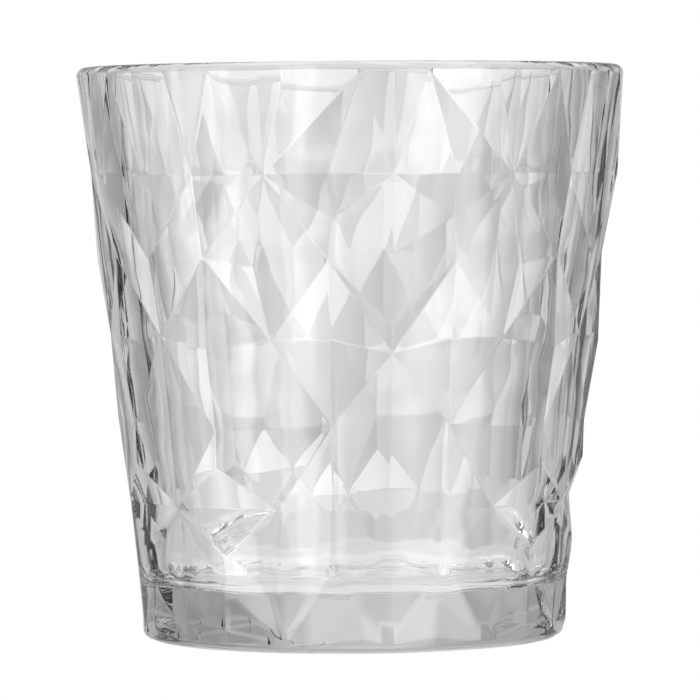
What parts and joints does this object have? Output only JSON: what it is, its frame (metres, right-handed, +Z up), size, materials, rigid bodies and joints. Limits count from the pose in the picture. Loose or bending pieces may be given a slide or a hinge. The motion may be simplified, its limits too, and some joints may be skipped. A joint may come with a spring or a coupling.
{
  "type": "whiskey tumbler",
  "caption": "Low tapered clear glass tumbler with a thick base and a pressed cut-glass pattern of stars, lozenges and long diamonds.",
  "frame": {"origin": "on the axis of the cup, in the plane of the foot ring that rests on the table", "axes": "+Z up along the axis of the cup; -Y is the front, with the stem column 9.2 degrees towards +X of it"},
  "size_m": [0.0862, 0.0862, 0.09],
  "materials": {
    "clear_glass": "clear, fire-polished, slightly softened facet edges"
  },
  "bodies": {
    "root": {"tumbler": "clear_glass"}
  },
  "joints": []
}
